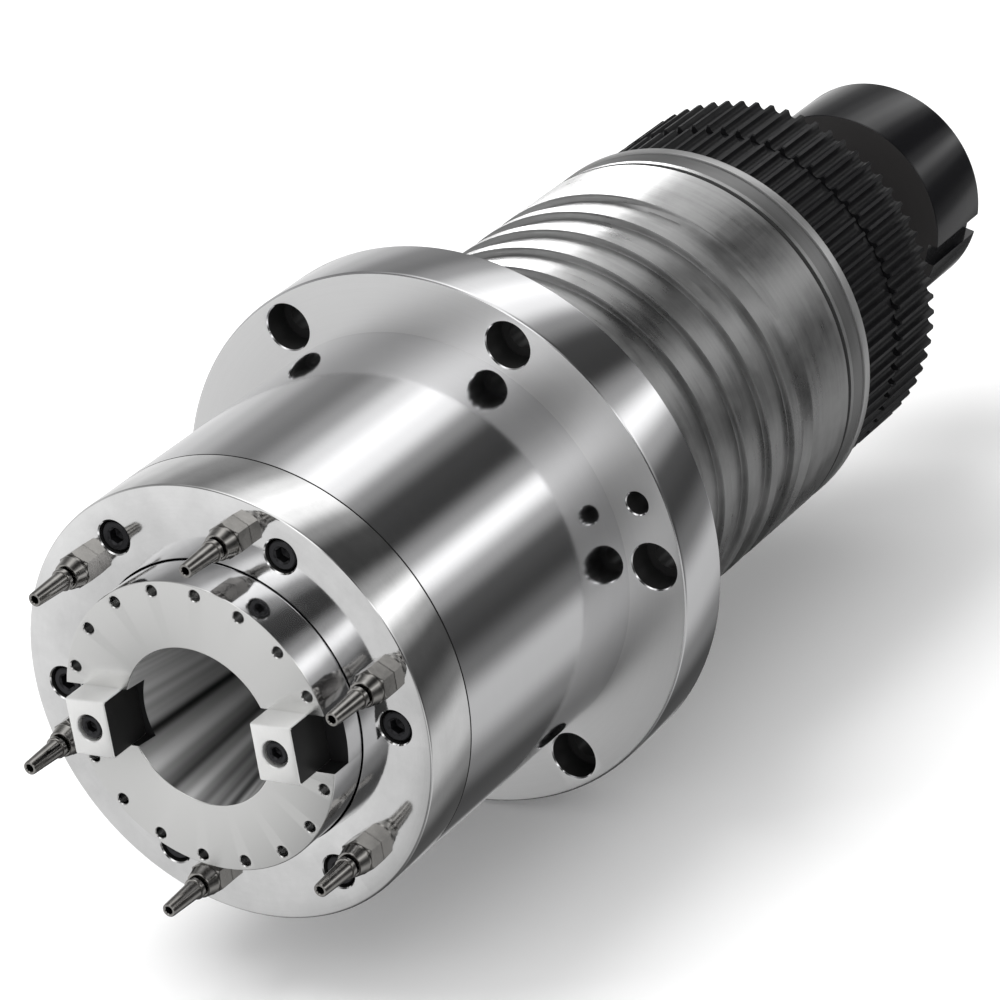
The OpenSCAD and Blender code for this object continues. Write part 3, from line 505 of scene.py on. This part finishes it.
# Nozzle cover: a polished steel ring bolted on the front of the housing. It holds the six
# coolant nozzles and leaves a narrow gap round the turning nose.
COVER_CIRCLE_R = 81.0
NOSE_R = 64.285
cover_outline = eased([
    (NOSE_R + 0.5, COVER_Y, 0.5), (BODY_R, COVER_Y, 1.2), (BODY_R, SEAM_Y, 0.3), (SPIGOT_R, SEAM_Y, 0),
    (SPIGOT_R, -156, 0), (SPIGOT_R - 3, -156, 0), (SPIGOT_R - 3, -153, 0), (SPIGOT_R, -153, 0),
    (SPIGOT_R, -151, 0), (NOSE_R + 0.5, -151, 0),
])
cover_ring = mesh_of("cover_ring", spun(cover_outline, TURN_STEPS))
for number in range(6):
    drilled(cover_ring, [hole(7.5, COVER_Y, COVER_Y + 9, on_circle(COVER_CIRCLE_R, 60 * number), flare=0.5)])
mirror_steel = turned_metal("mirror_steel", (0.88, 0.88, 0.88), roughness=0.08, lines=0.05, line_pitch=0.0015,
                            blotch=0.45, blotch_size=0.024, rough_spread=0.05)
finish_piece(smooth(cover_ring), "cartridge", "polished_steel", mirror_steel, "nozzle_cover")
# Painted shade: the walls of the cover's screw counterbores are made near black.
paint(cover_ring, recess_painted_shade, lambda centre, normal, from_axis: (
    (from_axis > 72) & (from_axis < 90) & (centre[:, 1] > COVER_Y + 0.6) & (centre[:, 1] < COVER_Y + 9.5)))


# Socket cap screws: black-oxide steel, sunk in the counterbores of cover, keys and tail.
def hexagon(width):
    """Radius of a hexagon across flats width, as a function of the angle."""
    def radius(angle):
        return width / 2 / np.cos((angle + np.pi / 6) % (np.pi / 3) - np.pi / 6)
    return radius


def cap_screw(head_r, head_h, top_y, centre, way=1, shank_r=3.0):
    """Screw head with a hexagon socket: rings from the shank's end out over the head, in at
    the mouth and down the socket. way is 1 where the head faces -Y."""
    socket = head_r * 0.92
    rim = socket / math.sqrt(3) * 1.12
    steps = [
        (0, head_h + 1.5), (shank_r, head_h + 1.5), (shank_r, head_h), (head_r, head_h), (head_r, 0.8),
        (head_r - 0.2, 0.3), (head_r - 0.7, 0), (rim + 0.15, 0), (rim, 0.15), (hexagon(socket), 0.6),
        (hexagon(socket), head_h * 0.55), (socket * 0.3, head_h * 0.62), (0, head_h * 0.62),
    ]
    return spun([(r, top_y + way * y) for r, y in steps], 48, centre, closed=False)


black_screw = turned_metal("black_screw", (0.035, 0.035, 0.038), metallic=0.75, roughness=0.32, lines=0.2,
                           line_pitch=0.0005, blotch=0.5, blotch_size=0.003)
cover_heads = mesh_of("cover_screw_heads", joined([
    cap_screw(6.5, 8, COVER_Y + 1, on_circle(COVER_CIRCLE_R, 60 * n), shank_r=3.9) for n in range(6)]))
finish_piece(smooth(cover_heads, 30), "cartridge", "black_screw", black_screw, "cover_screws")

# Coolant nozzles: nickel-plated. A hexagon body screwed into the cover, a coned cap on it,
# and a drilled tube with a collar that turns on its ball inside.
NOZZLE_ANGLES = [15 + 60 * n for n in range(6)]
BALL_Y = COVER_Y - 8
HEX_WIDTH = 14.0


def chamfered_hexagon(width, drop, slope=0.6):
    """Hexagon whose corners are cut by a cone: its radius shrinks as drop grows."""
    def radius(angle):
        return np.minimum(hexagon(width)(angle), width / 2 + (drop if drop > 0 else 9) / slope)
    return radius


nickel = turned_metal("nickel", (0.36, 0.35, 0.335), roughness=0.20, lines=0.10, line_pitch=0.0006,
                      blotch=0.9, blotch_size=0.006, rough_spread=0.08)
bodies, caps = [], []
for degrees in NOZZLE_ANGLES:
    spot = on_circle(COVER_CIRCLE_R, degrees)
    body_rows = [(0, COVER_Y + 4), (5, COVER_Y + 4), (5, COVER_Y), (hexagon(HEX_WIDTH - 0.8), COVER_Y)]
    body_rows += [(hexagon(HEX_WIDTH), COVER_Y - 0.4)]
    body_rows += [(chamfered_hexagon(HEX_WIDTH, d), BALL_Y + d) for d in (0.7, 0.5, 0.3, 0.1)]
    body_rows += [(HEX_WIDTH / 2, BALL_Y), (0, BALL_Y)]
    bodies.append(spun(body_rows, 72, spot, closed=False))
    cap_rows = [(0, BALL_Y), (6.6, BALL_Y), (6.85, BALL_Y - 0.2), (6.9, BALL_Y - 1.3), (6.7, BALL_Y - 1.7),
                (5.75, BALL_Y - 5.6), (5.5, BALL_Y - 5.9), (5.2, BALL_Y - 6), (4.6, BALL_Y - 6),
                (4.5, BALL_Y - 5.8), (4.5, BALL_Y - 2.4), (0, BALL_Y - 2.3)]
    caps.append(spun(cap_rows, 64, spot, closed=False))
nozzle_bases = mesh_of("nozzle_bases", joined(bodies))
finish_piece(smooth(nozzle_bases, 25), "cartridge", "nickel_plate", nickel, "nozzle_bodies")
nozzle_cones = mesh_of("nozzle_cones", joined(caps))
finish_piece(smooth(nozzle_cones, 25), "cartridge", "nickel_plate", nickel, "nozzle_caps")

ball_turn = np.linspace(-60, 45, 12)
for number, degrees in enumerate(NOZZLE_ANGLES, 1):
    spot = on_circle(COVER_CIRCLE_R, degrees)
    tube_rows = [(1.7, -4.7)] + [(5 * math.cos(math.radians(a)), 5 * math.sin(math.radians(a))) for a in ball_turn]
    tube_rows += [(3.4, 4.2), (3.4, 7.3), (3.6, 7.5), (4.5, 7.5), (4.75, 7.75), (4.75, 9.2), (4.5, 9.5),
                  (3.95, 9.6), (3.9, 9.8), (3.05, 26.9), (2.95, 27.3), (2.75, 27.5), (1.95, 27.5),
                  (1.7, 27.2)]
    tube = spun([(r, BALL_Y - y) for r, y in tube_rows], 48, spot)
    tip = mesh_of(f"nozzle_tip_{number}", tube)
    finish_piece(smooth(tip, 28), f"nozzle_{number}", "nickel_plate", nickel, f"nozzle_tube_{number}")

# Spindle shaft: hardened steel. The nose face is turned, the nose rim and the taper socket
# are ground, with painted reflection streaks in the socket's colour, and the two keyways are painted dark as shade.
# Sixteen small balance holes ring the nose.
KEY_WIDTH = 25.4
KEYWAY_Y = NOSE_Y + 10


def block(x0, x1, y0, y1, z0, z1):
    """A plain box between two corners, in millimetres."""
    points = np.array([(x, y, z) for x in (x0, x1) for y in (y0, y1) for z in (z0, z1)]) * MM
    faces = [(0, 1, 3, 2), (4, 6, 7, 5), (0, 4, 5, 1), (2, 3, 7, 6), (0, 2, 6, 4), (1, 5, 7, 3)]
    return points, np.array(faces)


shaft_outline = eased([
    (34.925, NOSE_Y, 0.5), (NOSE_R, NOSE_Y, 0.6), (NOSE_R, -172, 0), (50, -172, 0), (50, -45, 0),
    (49.5, -45, 0), (49.5, -25, 0), (47, -25, 0), (47, 128, 0), (45, 128, 0), (45, 180, 0),
    (44.5, 180, 0), (44.5, 202, 0), (42, 202, 0), (42, 274, 0), (41, 274, 0), (41, 300, 0.6),
    (31.5, 300, 0), (31.5, 30, 0), (15.05, 30, 0), (15.05, -44, 0), (24.05, -44, 0), (24.05, -100, 0),
    (20.05, -100, 0), (20.05, -105, 0),
])
shaft = mesh_of("shaft", spun(shaft_outline, TURN_STEPS))
for side in (-1, 1):
    keyway = block(*sorted((side * 20, side * 80)), NOSE_Y - 5, KEYWAY_Y, -KEY_WIDTH / 2, KEY_WIDTH / 2)
    drilled(shaft, [keyway])
for number in range(1, 9):
    for side in (0, 180):
        drilled(shaft, [hole(2.5, NOSE_Y, NOSE_Y + 14, on_circle(60, side + 20 * number), flare=0.35, segments=32)])
nose_steel = turned_metal("nose_steel", (0.88, 0.88, 0.87), roughness=0.24, lines=0.02, line_pitch=0.0015,
                          anisotropy=0.95, rough_spread=0.02)
# The taper socket's colour carries painted reflection streaks, light and dark, along the axis.
bore_steel = turned_metal("bore_steel", (0.36, 0.36, 0.36), metallic=0.35, roughness=0.30, lines=0.04,
                          painted_reflection_streaks=7.0)
# Painted shade: a near-black finish for the keyways, where shade falls.
keyway_painted_shade = turned_metal("keyway_painted_shade", (0.02, 0.02, 0.021), metallic=0.5, roughness=0.5, lines=0.2)
finish_piece(smooth(shaft), "rotor", "ground_steel", nose_steel, "spindle_shaft")
paint(shaft, bore_steel, lambda centre, normal, from_axis: (from_axis < 34.95) & (centre[:, 1] > NOSE_Y + 0.3))
paint(shaft, polished_steel, lambda centre, normal, from_axis: (
    (from_axis > 60) & (np.abs(normal[:, 1]) < 0.5) & (centre[:, 1] > NOSE_Y + 0.2)))
# Painted shade: the keyway faces are made near black.
paint(shaft, keyway_painted_shade, lambda centre, normal, from_axis: (
    (np.abs(centre[:, 2]) < KEY_WIDTH / 2 + 0.1) & (from_axis > 33) & (centre[:, 1] < KEYWAY_Y + 0.1)
    & (centre[:, 1] > NOSE_Y + 0.1)))

# Drive keys: two bright ground steel blocks let into the keyways, their end faces painted
# black as shade from the dark keyways they face, each held by one socket screw in a counterbore.
KEY_CIRCLE_R = 45.2
KEY_LENGTH = 19.5
KEY_TOP_Y = NOSE_Y - 12.5
key_steel = turned_metal("key_steel", (0.92, 0.92, 0.91), metallic=0.65, roughness=0.38, lines=0.05,
                         blotch=0.08, blotch_size=0.008)
# Painted shade: a near-black finish for the keys' end faces beside the dark keyways.
key_end_painted_shade = turned_metal("key_end_painted_shade", (0.018, 0.018, 0.018), metallic=0.3, roughness=0.45, lines=0.2)
for number, side in enumerate((1, -1), 1):
    middle = side * KEY_CIRCLE_R
    key = mesh_of(f"drive_key_{number}", block(middle - KEY_LENGTH / 2, middle + KEY_LENGTH / 2, KEY_TOP_Y,
                                               KEYWAY_Y, -KEY_WIDTH / 2 + 0.02, KEY_WIDTH / 2 - 0.02))
    ease = key.modifiers.new("ease", "BEVEL")
    ease.width = 0.9 * MM
    ease.segments = 3
    drilled(key, [hole(6.0, KEY_TOP_Y, KEY_TOP_Y + 7, (middle, 0), flare=0.4)])
    finish_piece(smooth(key, 25), "rotor", "key_steel", key_steel, *(("drive_keys",) if number == 1 else ()))
    # Painted shade: the key's end faces are made near black.
    paint(key, key_end_painted_shade, lambda centre, normal, from_axis: (
        (np.abs(normal[:, 0]) > 0.95) & (np.abs(np.abs(centre[:, 0] - middle) - KEY_LENGTH / 2) < 0.1)))
key_heads = mesh_of("key_screw_heads", joined([
    cap_screw(5, 6, KEY_TOP_Y + 1, (side * KEY_CIRCLE_R, 0), shank_r=2.9) for side in (1, -1)]))
finish_piece(smooth(key_heads, 30), "rotor", "black_screw", black_screw, "key_screws")

# Rear cover: a turned ring with a fine groove round its rim, bolted on the housing's end
# over the rear bearings, in front of the pulley.
REAR_Y = 200.0
cover_grey = turned_metal("cover_grey", (0.20, 0.20, 0.20), metallic=0.8, roughness=0.36, lines=0.3,
                          line_pitch=0.0016, blotch=0.3, blotch_size=0.02)
cover_rim = turned_metal("cover_rim", (0.46, 0.46, 0.46), metallic=0.8, roughness=0.34, lines=0.3,
                         line_pitch=0.0016, blotch=0.3, blotch_size=0.02)
rear_outline = eased([
    (59.5, JACKET_END - 4, 0), (70, JACKET_END - 4, 0), (70, JACKET_END, 0), (SLEEVE_R - 0.6, JACKET_END, 0.3),
    (SLEEVE_R - 0.6, 193.6, 0.3), (SLEEVE_R - 1.2, 193.8, 0), (SLEEVE_R - 1.2, 194.6, 0), (SLEEVE_R, 194.8, 0.3),
    (SLEEVE_R, REAR_Y, 1.0), (59.5, REAR_Y, 0.4),
])
rear_ring = mesh_of("rear_ring", spun(rear_outline, TURN_STEPS))
for number in range(6):
    spot = on_circle(76.25, 30 + 60 * number)
    drilled(rear_ring, [hole(6.0, REAR_Y, REAR_Y - 7, spot)])
finish_piece(smooth(rear_ring), "cartridge", "cover_steel", cover_grey, "rear_cover")
paint(rear_ring, cover_rim, lambda centre, normal, from_axis: centre[:, 1] > 194.5)
rear_heads = mesh_of("rear_screw_heads", joined([
    cap_screw(5, 6, REAR_Y - 1, on_circle(76.25, 30 + 60 * n), way=-1, shank_r=2.9) for n in range(6)]))
finish_piece(smooth(rear_heads, 30), "cartridge", "black_screw", black_screw, "rear_cover_screws")

# Belt pulley: black-oxide steel with seventy round-bottomed grooves for a timing belt, a
# break groove at its middle, and a dished web with six holes at the back.
TEETH = 70
TIP_R = TEETH * 8 / 2 / math.pi - 0.686
ROOT_R = TIP_R - 3.5
GROOVE_R = 3.0
PULLEY_FRONT = 202.0
PULLEY_BACK = 274.0


def toothed(shrink):
    """Radius of the toothed rim: the tip circle, or the near side of the groove's circle,
    rounded where they meet, less an edge chamfer that never cuts below the root."""
    def radius(angle):
        off = (angle + np.pi / TEETH) % (2 * np.pi / TEETH) - np.pi / TEETH
        middle = ROOT_R + GROOVE_R
        inside = np.maximum(GROOVE_R ** 2 - (middle * np.sin(off)) ** 2, 0.0)
        floor_line = middle * np.cos(off) - np.sqrt(inside)
        in_groove = np.abs(middle * np.sin(off)) < GROOVE_R * 0.985
        full = np.where(in_groove, np.minimum(floor_line, TIP_R), TIP_R)
        return np.minimum(full, TIP_R - shrink)
    return radius


black_oxide = turned_metal("black_oxide", (0.010, 0.010, 0.011), metallic=0.25, roughness=0.40, lines=0.3,
                           line_pitch=0.003, blotch=0.7, blotch_size=0.006, rough_spread=0.15, ior=1.35)
mid_groove = (PULLEY_FRONT + PULLEY_BACK) / 2
pulley_rows = [(42, PULLEY_FRONT), (57, PULLEY_FRONT), (57, PULLEY_FRONT + 10), (76, PULLEY_FRONT + 10),
               (76, PULLEY_FRONT), (ROOT_R - 1, PULLEY_FRONT), (toothed(0.8), PULLEY_FRONT),
               (toothed(0.0), PULLEY_FRONT + 0.8), (toothed(0.0), mid_groove - 2.6),
               (toothed(0.6), mid_groove - 2.0), (ROOT_R - 0.5, mid_groove - 2.0),
               (ROOT_R - 0.5, mid_groove + 2.0), (toothed(0.6), mid_groove + 2.0),
               (toothed(0.0), mid_groove + 2.6), (toothed(0.0), PULLEY_BACK - 0.8),
               (toothed(0.8), PULLEY_BACK), (ROOT_R - 1, PULLEY_BACK), (76.5, PULLEY_BACK),
               (76, PULLEY_BACK - 0.5), (76, PULLEY_BACK - 22), (57, PULLEY_BACK - 22),
               (57, PULLEY_BACK - 0.5), (56.5, PULLEY_BACK), (42, PULLEY_BACK)]
pulley = mesh_of("toothed_pulley", spun(pulley_rows, TEETH * 20))
for number in range(6):
    drilled(pulley, [hole(4, PULLEY_BACK - 22, PULLEY_FRONT - 2, on_circle(66.5, 30 + 60 * number), segments=32)])
finish_piece(smooth(pulley, 30), "rotor", "black_oxide", black_oxide, "belt_pulley")

# Tail disc: glossy black steel on the neck behind the pulley, with two slots along its rim.
# Its back has a shallow register and a pocket for the drawbar's push cap.
DISC_FRONT = 348.5
DISC_BACK = 394.0
DISC_R = 53.3
SLOT_ANGLE = -18.5


def around(part, angles):
    """Copies of a part turned round the Y axis by each angle, in degrees."""
    points, faces = part
    copies = []
    for degrees in angles:
        a = math.radians(degrees)
        spin = np.array([[math.cos(a), 0, -math.sin(a)], [0, 1, 0], [math.sin(a), 0, math.cos(a)]])
        copies.append((points @ spin.T, faces))
    return joined(copies)


black_gloss = turned_metal("black_gloss", (0.006, 0.006, 0.007), metallic=0.0, roughness=0.13, lines=0.08,
                           line_pitch=0.002, rough_spread=0.04, ior=1.45)
black_face = turned_metal("black_face", (0.040, 0.038, 0.038), metallic=0.2, roughness=0.45, lines=0.15,
                          line_pitch=0.002, anisotropy=0.4)
disc_outline = eased([
    (16, DISC_FRONT, 0), (DISC_R, DISC_FRONT, 0.7), (DISC_R, DISC_BACK, 1.1), (32, DISC_BACK, 0.3),
    (32, DISC_BACK - 4, 0), (30, DISC_BACK - 4, 0.6), (30, DISC_FRONT + 17.5, 0), (13, DISC_FRONT + 17.5, 0.3),
    (13, DISC_FRONT + 5.5, 0), (16, DISC_FRONT + 5.5, 0),
])
tail = mesh_of("tail_ring", spun(disc_outline, TURN_STEPS))
slot_cut = block(DISC_R - 5, DISC_R + 5, DISC_FRONT - 5, DISC_BACK + 5, -5, 5)
for degrees in (SLOT_ANGLE, SLOT_ANGLE + 180):
    drilled(tail, [around(slot_cut, [degrees])])
finish_piece(smooth(tail), "rotor", "black_gloss", black_gloss, "tail_disc")
paint(tail, black_face, lambda centre, normal, from_axis: normal[:, 1] < -0.9)

# Tail adapter and pulley nut: turned black pieces between the pulley and the tail disc.
adapter_outline = eased([
    (12.05, 285, 0), (31.5, 285, 0), (31.5, 300, 0), (41, 300, 0.6), (41, 312, 0.8), (28, 312, 1.2),
    (28, DISC_FRONT, 0), (16, DISC_FRONT, 0), (16, DISC_FRONT + 5, 0), (12.05, DISC_FRONT + 5, 0),
])
adapter = mesh_of("neck", spun(adapter_outline, 160))
finish_piece(smooth(adapter), "rotor", "black_gloss", black_face, "tail_adapter")
adapter_heads = mesh_of("neck_screw_heads", joined([
    cap_screw(4.25, 5, 317, on_circle(36.25, 60 * n), way=-1, shank_r=2.4) for n in range(6)]))
finish_piece(smooth(adapter_heads, 30), "rotor", "black_screw", black_screw, "tail_adapter_screws")
nut_steel = turned_metal("nut_steel", (0.16, 0.16, 0.165), metallic=0.8, roughness=0.34, lines=0.2,
                         line_pitch=0.0015, blotch=0.3, blotch_size=0.012)
nut_outline = eased([(41, 274, 0), (54, 274, 0.5), (54, 292, 1.0), (41, 292, 0.6)])
pulley_nut = mesh_of("pulley_nut", spun(nut_outline, 160))
nut_slot = block(49, 60, 283.9, 300, -4, 4)
for degrees in (0, 90, 180, 270):
    drilled(pulley_nut, [around(nut_slot, [degrees])])
finish_piece(smooth(pulley_nut), "rotor", "plain_steel", nut_steel, "pulley_lock_nut")

# Inner pieces keep their solids and get the finish that each has on the bench: ground
# bearing steel, cages of fabric-filled resin, oiled springs and turned steel nuts.
bearing_steel = turned_metal("bearing_steel", (0.70, 0.70, 0.71), roughness=0.08, lines=0.05)
cage_resin = turned_metal("cage_resin", (0.42, 0.26, 0.12), metallic=0.0, roughness=0.5, lines=0.3,
                          blotch=0.4, blotch_size=0.004)
spring_steel = turned_metal("spring_steel", (0.22, 0.23, 0.26), roughness=0.35, lines=0.3, blotch=0.3)
hard_steel = turned_metal("hard_steel", (0.50, 0.50, 0.51), roughness=0.26, lines=0.15, blotch=0.2)
INNER_FINISHES = (
    (bearing_steel, ("front_bearing_outer_rings", "front_bearing_inner_rings", "rear_bearing_outer_rings",
                     "rear_bearing_inner_rings", "front_bearing_balls", "rear_bearing_balls")),
    (cage_resin, ("front_bearing_cages", "rear_bearing_cages")),
    (rubber, ("cover_o_rings", "rear_cover_o_ring")),
    (spring_steel, ("disc_springs",)),
    (hard_steel, ("drawbar", "push_cap", "gripper_claw_1", "gripper_claw_2", "gripper_claw_3", "gripper_claw_4")),
    (black_screw, ("tail_disc_screws",)),
    (nose_steel, ("labyrinth_ring",)),
    (nut_steel, ("front_outer_spacer", "front_inner_spacer", "rear_outer_spacer", "rear_inner_spacer",
                 "front_lock_nut", "rear_lock_nut", "pulley_key", "spring_collar")),
)
for finish, names in INNER_FINISHES:
    for name in names:
        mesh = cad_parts[name].data
        mesh.materials.clear()
        mesh.materials.append(finish)
